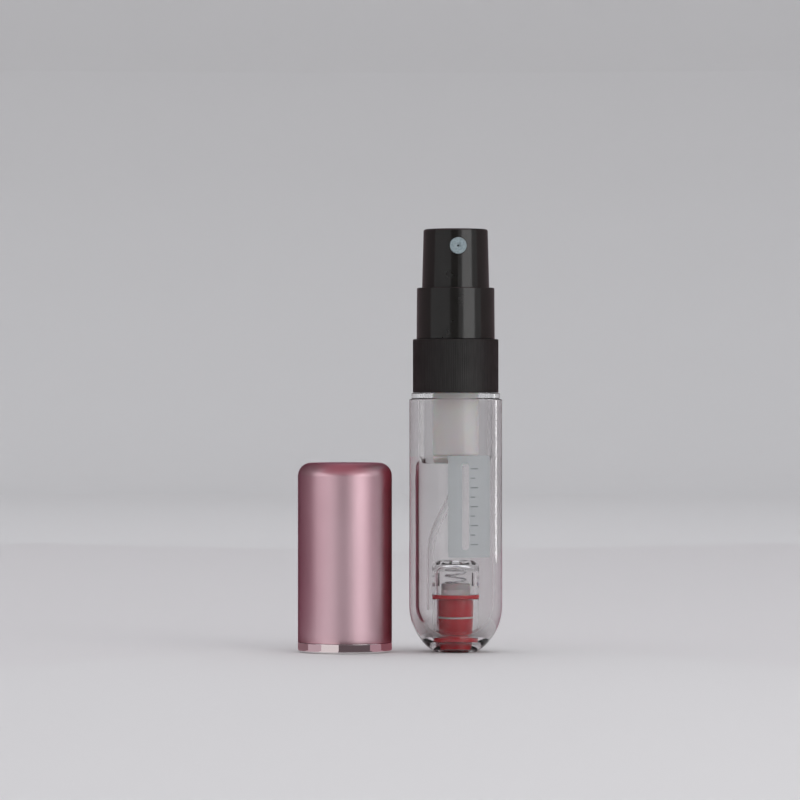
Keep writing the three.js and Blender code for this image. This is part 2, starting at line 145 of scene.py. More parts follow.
def ellipse(centre_z, half_width, half_height, start, end, steps):
    """Points of an ellipse round the axis, between two angles in degrees above the horizontal."""
    angles = [math.radians(start + (end - start) * i / steps) for i in range(steps + 1)]
    return [(half_width * math.cos(a), centre_z + half_height * math.sin(a)) for a in angles]


# ---------------------------------------------------------------- meshes

def revolve(corners, segments=SEGMENTS, ripple=None):
    """A mesh turned round the Z axis.

    ripple gives the change of radius at an angle, radius and height.
    """
    outline, loop = rounded(corners)
    mesh = bmesh.new()
    rings = []
    for radius, height in outline:
        if radius < ON_AXIS:
            rings.append([mesh.verts.new((0, 0, height * MM))])
            continue
        ring = []
        for i in range(segments):
            angle = 2 * math.pi * i / segments
            r = radius + (ripple(angle, radius, height) if ripple else 0)
            x, y = r * math.cos(angle) * MM, r * math.sin(angle) * MM
            ring.append(mesh.verts.new((x, y, height * MM)))
        rings.append(ring)
    neighbours = list(zip(rings, rings[1:]))
    if loop:
        neighbours.append((rings[-1], rings[0]))
    for low, high in neighbours:
        for i in range(segments):
            j = (i + 1) % segments
            around = [low[i % len(low)], low[j % len(low)], high[j % len(high)], high[i % len(high)]]
            mesh.faces.new(list(dict.fromkeys(around)))
    bmesh.ops.recalc_face_normals(mesh, faces=mesh.faces)
    return mesh


def sweep(path, radius, bore=0.0, sides=16):
    """A round wire, or a tube with a bore, along a list of points in millimetres."""
    tangents = []
    for i in range(len(path)):
        tangents.append((path[min(i + 1, len(path) - 1)] - path[max(i - 1, 0)]).normalized())
    side = tangents[0].orthogonal().normalized()
    mesh = bmesh.new()
    outer, inner = [], []
    for point, tangent in zip(path, tangents):
        side = (side - tangent * side.dot(tangent)).normalized()
        other = tangent.cross(side)
        spokes = []
        for k in range(sides):
            angle = 2 * math.pi * k / sides
            spokes.append(side * math.cos(angle) + other * math.sin(angle))
        outer.append([mesh.verts.new((point + spoke * radius) * MM) for spoke in spokes])
        if bore:
            inner.append([mesh.verts.new((point + spoke * bore) * MM) for spoke in spokes])
    rings = outer + inner[::-1]
    pairs = list(zip(rings, rings[1:]))
    if bore:
        pairs.append((rings[-1], rings[0]))
    else:
        mesh.faces.new(outer[0])
        mesh.faces.new(outer[-1])
    for low, high in pairs:
        for k in range(sides):
            after = (k + 1) % sides
            mesh.faces.new([low[k], low[after], high[after], high[k]])
    bmesh.ops.recalc_face_normals(mesh, faces=mesh.faces)
    return mesh


def coil(mean_radius, wire_radius, bottom, top, turns):
    """A compression spring with a closed, nearly flat coil at each end."""
    steps_per_turn = 32
    dead_turns = 1.0
    dead_spacing = 1.04
    pitch = 2 * wire_radius * dead_spacing
    low, high = bottom + wire_radius, top - wire_radius
    free = (high - low - 2 * pitch * dead_turns) / (turns - 2 * dead_turns)
    path = []
    for i in range(round(turns * steps_per_turn) + 1):
        turn = i / steps_per_turn
        dead = min(turn, dead_turns) + max(0.0, turn - (turns - dead_turns))
        height = low + pitch * dead + free * (turn - dead)
        angle = 2 * math.pi * turn
        path.append(Vector((mean_radius * math.cos(angle), mean_radius * math.sin(angle), height)))
    return sweep(path, wire_radius)


def film(outlines, radius, thickness):
    """A thin printed film round a cylinder.

    Outlines are closed loops of (way round from the front, height).
    """
    strip, join_distance = 0.35, 1e-5
    curve = bpy.data.curves.new("film", "CURVE")
    curve.dimensions = "2D"
    curve.fill_mode = "BOTH"
    curve.extrude = thickness / 2
    for outline in outlines:
        spline = curve.splines.new("POLY")
        spline.points.add(len(outline) - 1)
        spline.use_cyclic_u = True
        for point, (way, height) in zip(spline.points, outline):
            point.co = (way, height, 0, 1)
    holder = bpy.data.objects.new("film", curve)
    flat = bpy.data.meshes.new_from_object(holder)
    mesh = bmesh.new()
    mesh.from_mesh(flat)
    bmesh.ops.remove_doubles(mesh, verts=mesh.verts, dist=join_distance)
    low = min(v.co.x for v in mesh.verts)
    high = max(v.co.x for v in mesh.verts)
    for i in range(1, math.ceil((high - low) / strip)):
        everything = mesh.verts[:] + mesh.edges[:] + mesh.faces[:]
        place = (low + i * strip, 0, 0)
        bmesh.ops.bisect_plane(mesh, geom=everything, plane_co=place, plane_no=(1, 0, 0))
    for v in mesh.verts:
        angle = v.co.x / radius
        r = radius + thickness / 2 + v.co.z
        v.co = Vector((r * math.sin(angle), -r * math.cos(angle), v.co.y)) * MM
    bmesh.ops.recalc_face_normals(mesh, faces=mesh.faces)
    bpy.data.objects.remove(holder)
    bpy.data.curves.remove(curve)
    bpy.data.meshes.remove(flat)
    return mesh


def to_object(name, mesh, place):
    """The mesh as a smooth-shaded object, with its place in its vertices."""
    mesh.transform(Matrix.Translation(place))
    data = bpy.data.meshes.new(name)
    mesh.to_mesh(data)
    mesh.free()
    data.shade_smooth()
    data.set_sharp_from_angle(angle=SHARP_ANGLE)
    thing = bpy.data.objects.new(name, data)
    bpy.context.scene.collection.objects.link(thing)
    return thing


def piece(name, mesh, node, material, place=BOTTLE_AXIS, replaces=True):
    """A finished piece that rides with its CAD node's body and, unless told otherwise, hides the node it
    stands for.
    """
    thing = to_object(name, mesh, place)
    thing.data.materials.append(material)
    bodies = frame["record"]["behaviour"]["bodies"]
    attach(thing, next(body for body, nodes in bodies.items() if node in nodes))
    if replaces:
        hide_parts(node)
    return thing


def cut(thing, cutter):
    """Cuts one object out of another with an exact boolean, and shades the result again."""
    boolean = thing.modifiers.new("cut", "BOOLEAN")
    boolean.object = cutter
    boolean.solver = "EXACT"
    graph = bpy.context.evaluated_depsgraph_get()
    data = bpy.data.meshes.new_from_object(thing.evaluated_get(graph))
    thing.modifiers.clear()
    thing.data = data
    data.shade_smooth()
    data.set_sharp_from_angle(angle=SHARP_ANGLE)
    bpy.data.objects.remove(cutter)


# ---------------------------------------------------------------- materials

def shader_of(material):
    return material.node_tree.nodes["Principled BSDF"]


def new_material(name, color, roughness, **values):
    material = bpy.data.materials.new(name)
    material.use_nodes = True
    inputs = shader_of(material).inputs
    inputs["Base Color"].default_value = (*color, 1)
    inputs["Roughness"].default_value = roughness
    for key, value in values.items():
        inputs[key.replace("_", " ")].default_value = value
    return material


def noise(material, size, stretch=(1, 1, 1), detail=3.0):
    """Noise whose features are about size millimetres, longer along the axes stretched."""
    nodes, links = material.node_tree.nodes, material.node_tree.links
    coordinates = nodes.new("ShaderNodeTexCoord")
    mapping = nodes.new("ShaderNodeMapping")
    mapping.inputs["Scale"].default_value = [1 / s for s in stretch]
    texture = nodes.new("ShaderNodeTexNoise")
    texture.inputs["Scale"].default_value = 1 / (size * MM)
    texture.inputs["Detail"].default_value = detail
    links.new(coordinates.outputs["Object"], mapping.inputs["Vector"])
    links.new(mapping.outputs["Vector"], texture.inputs["Vector"])
    return texture.outputs["Fac"]


def vary(material, factor, low, high, socket="Roughness"):
    """Drives a number on the shader between two values."""
    mapped = material.node_tree.nodes.new("ShaderNodeMapRange")
    mapped.inputs["From Min"].default_value = 0.3
    mapped.inputs["From Max"].default_value = 0.7
    mapped.inputs["To Min"].default_value = low
    mapped.inputs["To Max"].default_value = high
    material.node_tree.links.new(factor, mapped.inputs["Value"])
    material.node_tree.links.new(mapped.outputs["Result"], shader_of(material).inputs[socket])


def tint(material, factor, color_a, color_b):
    """Blends the base colour between two colours."""
    ramp = material.node_tree.nodes.new("ShaderNodeValToRGB")
    ramp.color_ramp.elements[0].position = 0.3
    ramp.color_ramp.elements[0].color = (*color_a, 1)
    ramp.color_ramp.elements[1].position = 0.7
    ramp.color_ramp.elements[1].color = (*color_b, 1)
    material.node_tree.links.new(factor, ramp.inputs["Fac"])
    material.node_tree.links.new(ramp.outputs["Color"], shader_of(material).inputs["Base Color"])


def bump(material, factor, height, strength=1.0):
    """Adds relief of this height in millimetres on top of any relief already there."""
    nodes, links = material.node_tree.nodes, material.node_tree.links
    relief = nodes.new("ShaderNodeBump")
    relief.inputs["Distance"].default_value = height * MM
    relief.inputs["Strength"].default_value = strength
    links.new(factor, relief.inputs["Height"])
    normal = shader_of(material).inputs["Normal"]
    if normal.is_linked:
        links.new(normal.links[0].from_socket, relief.inputs["Normal"])
    links.new(relief.outputs["Normal"], normal)


def let_lamps_through(material, color):
    """Lets lamps light what is behind a clear surface, as they do through a real one."""
    nodes, links = material.node_tree.nodes, material.node_tree.links
    path = nodes.new("ShaderNodeLightPath")
    passed = nodes.new("ShaderNodeBsdfTransparent")
    passed.inputs["Color"].default_value = (*color, 1)
    mix = nodes.new("ShaderNodeMixShader")
    links.new(path.outputs["Is Shadow Ray"], mix.inputs[0])
    links.new(shader_of(material).outputs["BSDF"], mix.inputs[1])
    links.new(passed.outputs["BSDF"], mix.inputs[2])
    links.new(mix.outputs["Shader"], nodes["Material Output"].inputs["Surface"])


def clear_material(name, color, shine):
    """Clear plastic. shine scales how much each of its surfaces reflects."""
    material = new_material(name, color, 0.02, Transmission_Weight=1.0, IOR=1.49)
    shader_of(material).inputs["Specular Tint"].default_value = (shine, shine, shine, 1)
    vary(material, noise(material, 3.0), 0.01, 0.05)
    bump(material, noise(material, 1.6, (1, 1, 12)), 0.012)
    let_lamps_through(material, color)
    return material


def clear_plastic():
    """The bottle's own plastic also takes up a little light, so its base and edges look darker."""
    material = clear_material("clear_plastic", (0.96, 0.96, 0.96), 0.5)
    nodes, links = material.node_tree.nodes, material.node_tree.links
    absorption = nodes.new("ShaderNodeVolumeAbsorption")
    absorption.inputs["Color"].default_value = (0.74, 0.7, 0.71, 1)
    absorption.inputs["Density"].default_value = 200
    links.new(absorption.outputs["Volume"], nodes["Material Output"].inputs["Volume"])
    return material


def clear_inner():
    return clear_material("clear_inner", (0.96, 0.96, 0.96), 0.2)


def frosted_plastic(name="frosted_plastic", color=(0.92, 0.89, 0.88), see_through=0.1):
    material = new_material(
        name, color, 0.35, Transmission_Weight=see_through, IOR=1.46,
        Subsurface_Weight=0.5, Subsurface_Scale=1.0 * MM
    )
    vary(material, noise(material, 1.5), 0.3, 0.45)
    bump(material, noise(material, 0.6), 0.0008)
    return material


def satin_black():
    material = new_material("satin_black", (0.014, 0.013, 0.012), 0.5, Specular_IOR_Level=0.35)
    grain = noise(material, 0.25, (1, 1, 14), detail=4)
    tint(material, grain, (0.010, 0.009, 0.008), (0.019, 0.018, 0.0165))
    vary(material, noise(material, 2.5), 0.42, 0.58)
    bump(material, grain, 0.02)
    return material


def gloss_black():
    material = new_material("gloss_black", (0.014, 0.013, 0.0115), 0.14)
    tint(material, noise(material, 5.0), (0.013, 0.012, 0.0105), (0.0155, 0.0145, 0.013))
    vary(material, noise(material, 4.0, detail=1.0), 0.13, 0.17)
    bump(material, noise(material, 2.5, detail=0.0), 0.002)
    return material


def pink_aluminium():
    material = new_material("pink_aluminium", (0.66, 0.455, 0.5), 0.4, Metallic=1.0)
    shader_of(material).inputs["Specular Tint"].default_value = (0.3, 0.05, 0.12, 1)
    tint(material, noise(material, 6.0), (0.65, 0.445, 0.49), (0.67, 0.465, 0.51))
    vary(material, noise(material, 4.0, (1, 1, 3)), 0.38, 0.42)
    bump(material, noise(material, 0.35), 0.0006)
    return material


def polished_metal():
    material = new_material("polished_metal", (0.86, 0.83, 0.83), 0.06, Metallic=1.0)
    vary(material, noise(material, 0.4, (1, 1, 0.3)), 0.04, 0.1)
    bump(material, noise(material, 0.3), 0.0005)
    return material


def spring_steel():
    material = new_material("spring_steel", (0.62, 0.62, 0.63), 0.22, Metallic=1.0)
    vary(material, noise(material, 0.3), 0.16, 0.32)
    bump(material, noise(material, 0.05), 0.0008)
    return material


def natural_plastic():
    material = new_material(
        "natural_plastic", (0.78, 0.78, 0.75), 0.38, Subsurface_Weight=0.3, Subsurface_Scale=0.5 * MM
    )
    tint(material, noise(material, 2.0), (0.75, 0.75, 0.71), (0.81, 0.81, 0.79))
    vary(material, noise(material, 0.8), 0.32, 0.46)
    bump(material, noise(material, 0.08), 0.002)
    return material


def nozzle_plastic():
    material = new_material("nozzle_plastic", (0.27, 0.335, 0.355), 0.34)
    tint(material, noise(material, 0.35), (0.2, 0.25, 0.265), (0.34, 0.42, 0.445))
    vary(material, noise(material, 0.4), 0.28, 0.42)
    bump(material, noise(material, 0.06), 0.002)
    return material


def red_plastic():
    material = new_material(
        "red_plastic", (0.5, 0.012, 0.022), 0.22, Subsurface_Weight=0.4, Subsurface_Scale=1.0 * MM
    )
    tint(material, noise(material, 1.8), (0.46, 0.008, 0.018), (0.54, 0.016, 0.026))
    vary(material, noise(material, 0.7), 0.16, 0.3)
    bump(material, noise(material, 0.1), 0.0015)
    return material


def seal_rubber():
    material = new_material("seal_rubber", (0.21, 0.215, 0.22), 0.65)
    vary(material, noise(material, 0.5), 0.55, 0.75)
    bump(material, noise(material, 0.05), 0.004)
    return material


def level_ink(name, color, alpha):
    material = new_material(name, color, 0.45, Alpha=alpha)
    vary(material, noise(material, 0.3), 0.38, 0.55)
    bump(material, noise(material, 0.08), 0.002)
    return material


MATERIALS = {
    make.__name__: make()
    for make in (
        clear_plastic, clear_inner, frosted_plastic, satin_black, gloss_black, pink_aluminium,
        polished_metal, spring_steel, natural_plastic, nozzle_plastic, red_plastic, seal_rubber,
    )
}


# ---------------------------------------------------------------- bottle

def bottle_body():
    radius, bottom, top = span("clear_bottle")
    foot, nose, bore, bowl_centre = 3.9, 9.8, 6.85, 8.8
    port, port_depth, socket_bore, seat_r, seat_z = 2.9, 1.2, 3.3, 4.45, 2.57
    nose_centre = nose * math.sqrt(1 - (foot / radius) ** 2)
    foot_angle = -math.degrees(math.acos(foot / radius))
    bowl_angle = -math.degrees(math.acos(seat_r / bore))
    corners = [
        (port, bottom, 0.15),
        *ellipse(nose_centre, radius, nose, foot_angle, 0, 24),
        (radius, top, 0.3),
        (bore, top, 0.15),
        *ellipse(bowl_centre, bore, bore, 0, bowl_angle, 20),
        (seat_r, seat_z),
        (socket_bore, seat_z, 0.1),
        (socket_bore, port_depth),
        (port, port_depth, 0.1),
    ]
    return piece("bottle_body", revolve(corners), "clear_bottle", MATERIALS["clear_plastic"])


def rounded_rectangle(left, bottom, right, top, radius, steps=6):
    """Outline of a rectangle with round corners, as (way round, height)."""
    centres = [
        (right - radius, top - radius, 0), (left + radius, top - radius, 90),
        (left + radius, bottom + radius, 180), (right - radius, bottom + radius, 270),
    ]
    outline = []
    for x, z, start in centres:
        for i in range(steps + 1):
            angle = math.radians(start + 90 * i / steps)
            outline.append((x + radius * math.cos(angle), z + radius * math.sin(angle)))
    return outline


def level_gauge():
    """Plain level gauge: a silver-white panel with a clear window and darker tick marks beside it."""
    lift, panel_thickness, mark_lift, mark_thickness = 0.02, 0.025, 0.026, 0.015
    window_start, window_end, window_margin = 2.6, 3.9, 1.4
    mark_start, mark_margin, half_mark = 4.2, 2.4, 0.11
    count, long_mark, short_mark = 9, 1.5, 0.9
    low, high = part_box("level_print")
    film_radius = span("clear_bottle")[0] + lift
    left = film_radius * math.asin((low.x - BOTTLE_AXIS.x) / MM / film_radius)
    right = film_radius * math.asin((high.x - BOTTLE_AXIS.x) / MM / film_radius)
    bottom, top = low.z / MM, high.z / MM
    border = rounded_rectangle(left, bottom, right, top, 0.5)
    window = rounded_rectangle(
        left + window_start, bottom + window_margin, left + window_end, top - window_margin, 0.6
    )
    panel = film([border, window], film_radius, panel_thickness)
    pale = level_ink("level_ink", (0.5, 0.525, 0.53), 0.6)
    piece("level_panel", panel, "level_print", pale)
    marks = []
    start = left + mark_start
    for i in range(count):
        height = bottom + mark_margin + i * (top - bottom - 2 * mark_margin) / (count - 1)
        end = start + (long_mark if i % 2 == 0 else short_mark)
        marks.append(rounded_rectangle(start, height - half_mark, end, height + half_mark, 0.1))
    ticks = film(marks, film_radius + mark_lift, mark_thickness)
    dark = level_ink("mark_ink", (0.2, 0.22, 0.23), 0.85)
    piece("level_marks", ticks, "level_print", dark, replaces=False)


def neck_insert_piece():
    radius, bottom, top = span("neck_insert")
    sleeve, sleeve_bore, neck, hole = 6.78, 5.9, 6.6, 4.45
    lead_in, lead_height = 6.2, 1.3
    flange_top, bead_z, bead = 47.9, 51.0, 0.25
    seat = span("clear_bottle")[2] + 0.03
    corners = [
        (sleeve_bore, bottom, 0.1),
        (lead_in, bottom, 0.1),
        (sleeve, bottom + lead_height, 0.3),
        (sleeve, seat),
        (radius, seat, 0.15),
        (radius, flange_top, 0.2),
        (neck, flange_top),
        (neck, bead_z - bead, 0.1),
        (neck + bead, bead_z, 0.1),
        (neck, bead_z + bead, 0.1),
        (neck, top, 0.15),
        (hole, top, 0.1),
        (hole, seat, 0.1),
        (sleeve_bore, seat, 0.3),
    ]
    return piece("neck_insert_clear", revolve(corners), "neck_insert", MATERIALS["clear_inner"])


# ---------------------------------------------------------------- closure and actuator

def closure_ring_piece():
    """Satin closure with a fine vertical ribbing between two plain bands."""
    radius, bottom, top = span("closure_ring")
    bore, hole, flange_bottom = 6.7, 4.35, 56.65
    ribs, depth, band, run_out = 120, 0.035, 0.45, 0.12
    facets_per_rib = 6

    def ripple(angle, r, z):
        outside = r > radius - 0.01
        if outside and bottom + band < z < top - band:
            return -depth * (0.5 - 0.5 * math.cos(ribs * angle))
        return 0

    corners = [
        (bore, bottom, 0.1),
        (radius, bottom, 0.18),
        (radius, bottom + band),
        (radius, bottom + band + run_out),
        (radius, top - band - run_out),
        (radius, top - band),
        (radius, top, 0.22),
        (hole, top, 0.1),
        (hole, flange_bottom, 0.1),
        (bore, flange_bottom, 0.2),
    ]
    mesh = revolve(corners, segments=ribs * facets_per_rib, ripple=ripple)
    return piece("closure_ring_ribbed", mesh, "closure_ring", MATERIALS["satin_black"])


def collar_sleeve_piece():
    radius, bottom, top = span("collar_sleeve")
    top_radius, bore, plate_top, hole = 7.18, 6.42, 58.9, 4.6
    corners = [
        (hole, bottom, 0.1),
        (radius, bottom, 0.08),
        (top_radius, top, 0.2),
        (bore, top, 0.12),
        (bore, plate_top, 0.2),
        (hole, plate_top, 0.1),
    ]
    return piece("collar_sleeve_gloss", revolve(corners), "collar_sleeve", MATERIALS["gloss_black"])


# The nozzle's line: its turn from straight ahead and its height, in millimetres
NOZZLE_TURN = math.radians(4)
NOZZLE_Z = 75.0


def along_nozzle(mesh):
    """Lays a mesh that was turned round Z along the nozzle's line, out to the front."""
    turn = Matrix.Rotation(NOZZLE_TURN, 4, "Z") @ Matrix.Rotation(math.pi / 2, 4, "X")
    mesh.transform(Matrix.Translation((0, 0, NOZZLE_Z * MM)) @ turn)
    return mesh


def actuator_piece():
    """Button with a shallow finger dish and a bored hole for the nozzle."""
    radius, bottom, top = span("actuator_button")
    top_radius, wall, roof = 5.95, 0.9, top - 1.1
    dish_radius, dish_depth = 4.9, 0.18
    boss, boss_bottom, socket, socket_top = 2.3, 65.2, 1.45, 71.83
    hole, hole_back, hole_front = 1.6, 2.65, 8.0
    corners = [
        (0, socket_top),
        (socket, socket_top, 0.1),
        (socket, boss_bottom, 0.2),
        (boss, boss_bottom, 0.2),
        (boss, roof, 0.4),
        (top_radius - wall, roof, 0.5),
        (radius - wall, bottom, 0.15),
        (radius, bottom, 0.2),
        (top_radius, top, 0.4),
        (dish_radius, top, 0.6),
        (dish_radius * 0.6, top - dish_depth * 0.75, 2.0),
        (0, top - dish_depth),
    ]
    button = piece("actuator_gloss", revolve(corners), "actuator_button", MATERIALS["gloss_black"])
    bore = revolve([(0, hole_back), (hole, hole_back), (hole, hole_front), (0, hole_front)], segments=64)
    cut(button, to_object("nozzle_bore", along_nozzle(bore), BOTTLE_AXIS))
    return button


def nozzle_piece():
    back, face, radius = 2.7, 6.05, 1.55
    chamber, chamber_end, orifice = 1.0, 5.1, 0.15
    swirl, swirl_depth = 0.62, 0.24
    corners = [
        (chamber, back),
        (radius, back, 0.1),
        (radius, face, 0.14),
        (swirl, face, 0.1),
        (orifice + 0.04, face - swirl_depth, 0.04),
        (orifice, chamber_end),
        (chamber, chamber_end, 0.1),
    ]
    mesh = along_nozzle(revolve(corners, segments=64))
    return piece("nozzle_disc", mesh, "nozzle_insert", MATERIALS["nozzle_plastic"])


# ---------------------------------------------------------------- spray pump

def pump_housing_piece():
    flange, bottom, top = span("pump_housing")
    body, bore, ledge, flange_bottom = 4.26, 3.35, 40.5, top - 0.8
    spigot, spigot_top, tube_bore, tube_stop = 1.55, 35.6, 0.8, 36.7
    taper, taper_bottom, taper_top = 4.0, 36.3, 36.56
    ball_cage, lip, lip_bottom = 1.35, 0.93, ledge - 0.35
    inlet, cone_bottom, cone_top = 0.5, 38.0, 38.9
    corners = [
        (tube_bore, bottom, 0.05),
        (spigot, bottom, 0.25),
        (spigot, spigot_top, 0.3),
        (taper, taper_bottom, 0.15),
        (body, taper_top, 0.15),
        (body, flange_bottom, 0.2),
        (flange, flange_bottom, 0.1),
        (flange, top, 0.1),
        (bore, top, 0.1),
        (bore, ledge, 0.2),
        (lip, ledge, 0.05),
        (lip, lip_bottom, 0.05),
        (ball_cage, lip_bottom),
        (ball_cage, cone_top),
        (inlet, cone_bottom),
        (inlet, tube_stop),
        (tube_bore, tube_stop),
    ]
    return piece("pump_housing_frosted", revolve(corners), "pump_housing", MATERIALS["frosted_plastic"])


def pump_gasket_piece():
    radius, bottom, top = span("pump_gasket")
    bore = 4.4
    corners = [(bore, bottom, 0.15), (radius, bottom, 0.15), (radius, top, 0.15), (bore, top, 0.15)]
    return piece("pump_gasket_ring", revolve(corners), "pump_gasket", MATERIALS["seal_rubber"])


def pump_turret_piece():
    radius, bottom, top = span("pump_turret")
    bore, plug, flange_bottom, flange_top = 1.47, 3.28, 56.63, 57.5
    spout_foot, spout = 2.9, 2.6
    corners = [
        (bore, bottom, 0.1),
        (plug, bottom, 0.15),
        (plug, flange_bottom, 0.1),
        (radius, flange_bottom, 0.1),
        (radius, flange_top, 0.15),
        (spout_foot, flange_top, 0.3),
        (spout, top, 0.25),
        (bore, top, 0.1),
    ]
    return piece("pump_turret_plug", revolve(corners), "pump_turret", MATERIALS["natural_plastic"])


def pump_stem_piece():
    head, bottom, top = span("pump_stem")
    radius, channel, channel_bottom, head_top = 1.4, 0.45, 51.3, bottom + 0.6
    port, port_z, port_reach = 0.3, 51.9, 2.0
    corners = [
        (0, bottom),
        (head, bottom, 0.1),
        (head, head_top, 0.1),
        (radius, head_top, 0.1),
        (radius, top, 0.15),
        (channel, top, 0.08),
        (channel, channel_bottom),
        (0, channel_bottom),
    ]
    stem = piece("pump_stem_tube", revolve(corners, 64), "pump_stem", MATERIALS["natural_plastic"])
    outline = [(0, -port_reach), (port, -port_reach), (port, port_reach), (0, port_reach)]
    drill = revolve(outline, segments=24)
    drill.transform(Matrix.Translation((0, 0, port_z * MM)) @ Matrix.Rotation(math.pi / 2, 4, "Y"))
    cut(stem, to_object("side_port", drill, BOTTLE_AXIS))
    return stem


def pump_piston_piece():
    radius, bottom, top = span("pump_piston")
    bore, waist, lip_crest, lip_height = 1.45, 2.9, 0.3, 1.1
    corners = [
        (bore, bottom, 0.08),
        (waist, bottom, 0.1),
        (radius, bottom + lip_crest, 0.1),
        (waist, bottom + lip_height, 0.3),
        (waist, top - lip_height, 0.3),
        (radius, top - lip_crest, 0.1),
        (waist, top, 0.1),
        (bore, top, 0.08),
    ]
    return piece("pump_piston_lips", revolve(corners), "pump_piston", MATERIALS["natural_plastic"])


def spring_piece(name, node, mean_radius, wire_radius, turns):
    """A coil spring from its CAD node's bottom to its top, with a mesh of its own."""
    bottom, top = (v.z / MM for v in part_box(node))
    mesh = coil(mean_radius, wire_radius, bottom, top, turns)
    spring = piece(name, mesh, node, MATERIALS["spring_steel"])
    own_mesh(spring)
    return spring


def inlet_ball_piece():
    low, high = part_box("inlet_ball")
    centre = (low + high) / 2
    mesh = bmesh.new()
    bmesh.ops.create_icosphere(mesh, subdivisions=4, radius=(high.z - low.z) / 2)
    return piece("inlet_ball_steel", mesh, "inlet_ball", MATERIALS["spring_steel"], place=centre)


def dip_tube_piece():
    """Straight out of the pump, over to the wall in one S-bend, then down beside the valve."""
    radius, bore = 0.75, 0.45
    start = Vector((0, 0, 36.65))
    bend_top = Vector((0, 0, 33.6))
    end = Vector((-4.9, 2.9, 7.4))
    bend_bottom = Vector((end.x, end.y, 17.5))
    pull = Vector((0, 0, 7))
    handles = [bend_top, bend_top - pull, bend_bottom + pull, bend_bottom]
    path = [start]
    steps = 48
    for i in range(steps + 1):
        t = i / steps
        weights = [(1 - t) ** 3, 3 * t * (1 - t) ** 2, 3 * t * t * (1 - t), t ** 3]
        path.append(sum((handle * w for handle, w in zip(handles, weights)), Vector()))
    path.append(end)
    mesh = sweep(path, radius, bore, sides=32)
    return piece("dip_tube_clear", mesh, "dip_tube", MATERIALS["clear_inner"])


# ---------------------------------------------------------------- refill valve

def valve_sleeve_piece():
    radius, bottom, top = span("valve_sleeve")
    bore = 3.3
    corners = [(bore, bottom, 0.1), (radius, bottom, 0.12), (radius, top, 0.12), (bore, top, 0.1)]
    return piece("valve_sleeve_clear", revolve(corners), "valve_sleeve", MATERIALS["clear_inner"])


def valve_cage_piece():
    """Domed clear cage with a window at each side."""
    radius, bottom, top = span("valve_cage")
    bore, roof_bottom, vent, shoulder = 3.4, 16.0, 0.9, 2.4
    corners = [
        (bore, bottom, 0.1),
        (radius, bottom, 0.12),
        (radius, top, shoulder),
        (vent, top, 0.1),
        (vent, roof_bottom, 0.1),
        (bore, roof_bottom, 1.0),
    ]
    cage = piece("valve_cage_clear", revolve(corners), "valve_cage", MATERIALS["clear_inner"])
    windows = bmesh.new()
    count, depth, width, low, high = 2, 3.0, 2.0, 12.2, 14.6
    for i in range(count):
        box = bmesh.ops.create_cube(windows, size=1.0)["verts"]
        size = Matrix.Diagonal((depth, width, high - low, 1.0))
        shift = Matrix.Translation((radius, 0, (low + high) / 2))
        turn = Matrix.Rotation(i * 2 * math.pi / count, 4, "Z")
        bmesh.ops.transform(windows, matrix=Matrix.Scale(MM, 4) @ turn @ shift @ size, verts=box)
    cut(cage, to_object("cage_windows", windows, BOTTLE_AXIS))
    return cage


def refill_socket_piece():
    radius, bottom, top = span("refill_socket")
    mouth, sleeve, bore, funnel_top = 2.9, 3.25, 2.1, 2.4
    flange_bottom, flange_top = 2.6, 3.4
    corners = [
        (mouth, bottom, 0.08),
        (sleeve, bottom, 0.1),
        (sleeve, flange_bottom, 0.1),
        (radius, flange_bottom, 0.12),
        (radius, flange_top, 0.15),
        (sleeve, flange_top, 0.25),
        (sleeve, top, 0.1),
        (bore, top, 0.1),
        (bore, funnel_top, 0.3),
    ]
    return piece("refill_socket_red", revolve(corners), "refill_socket", MATERIALS["red_plastic"])


def stem_seal_piece():
    radius, bottom, top = span("stem_seal")
    bore = 1.7
    corners = [(bore, bottom, 0.1), (radius, bottom, 0.08), (radius, top, 0.08), (bore, top, 0.1)]
    return piece("stem_seal_ring", revolve(corners), "stem_seal", MATERIALS["natural_plastic"])


def valve_seat_piece():
    radius, bottom, top = span("valve_seat")
    sleeve, bore, cone, cone_depth, flange_height = 3.25, 2.1, 2.75, 0.7, 0.7
    corners = [
        (bore, bottom, 0.1),
        (sleeve, bottom, 0.1),
        (sleeve, top - flange_height, 0.05),
        (radius, top - flange_height, 0.08),
        (radius, top, 0.1),
        (cone, top, 0.08),
        (bore, top - cone_depth, 0.1),
    ]
    return piece("valve_seat_red", revolve(corners), "valve_seat", MATERIALS["red_plastic"])


def valve_poppet_piece():
    """Cone on a stem, with a cup and a pin on top that hold the spring."""
    head, bottom, top = span("valve_poppet")
    stem, shoulder_z, cone_r, cone_bottom, cone_top = 1.4, 9.7, 2.05, 9.93, 10.63
    cup, cup_floor, pin = 2.2, 11.5, 1.0
    corners = [
        (0, bottom),
        (stem, bottom, 0.25),
        (stem, shoulder_z, 0.1),
        (cone_r, cone_bottom, 0.05),
        (head, cone_top, 0.1),
        (head, top, 0.15),
        (cup, top, 0.15),
        (cup, cup_floor, 0.2),
        (pin, cup_floor, 0.1),
        (pin, top, 0.3),
        (0, top),
    ]
    milky = frosted_plastic("milky_plastic", (0.95, 0.85, 0.86), see_through=0.75)
    return piece("valve_poppet_cup", revolve(corners, 64), "valve_poppet", milky)


# ---------------------------------------------------------------- cap

def cap_shell_piece():
    radius, bottom, top = span("cap_shell")
    wall, corner = 0.4, 2.4
    corners = [
        (0, top - wall),
        (radius - wall, top - wall, corner - wall),
        (radius - wall, bottom, 0.05),
        (radius, bottom, 0.08),
        (radius, top, corner),
        (0, top),
    ]
    mesh = revolve(corners, segments=192)
    return piece("cap_shell_pink", mesh, "cap_shell", MATERIALS["pink_aluminium"], place=CAP_AXIS)


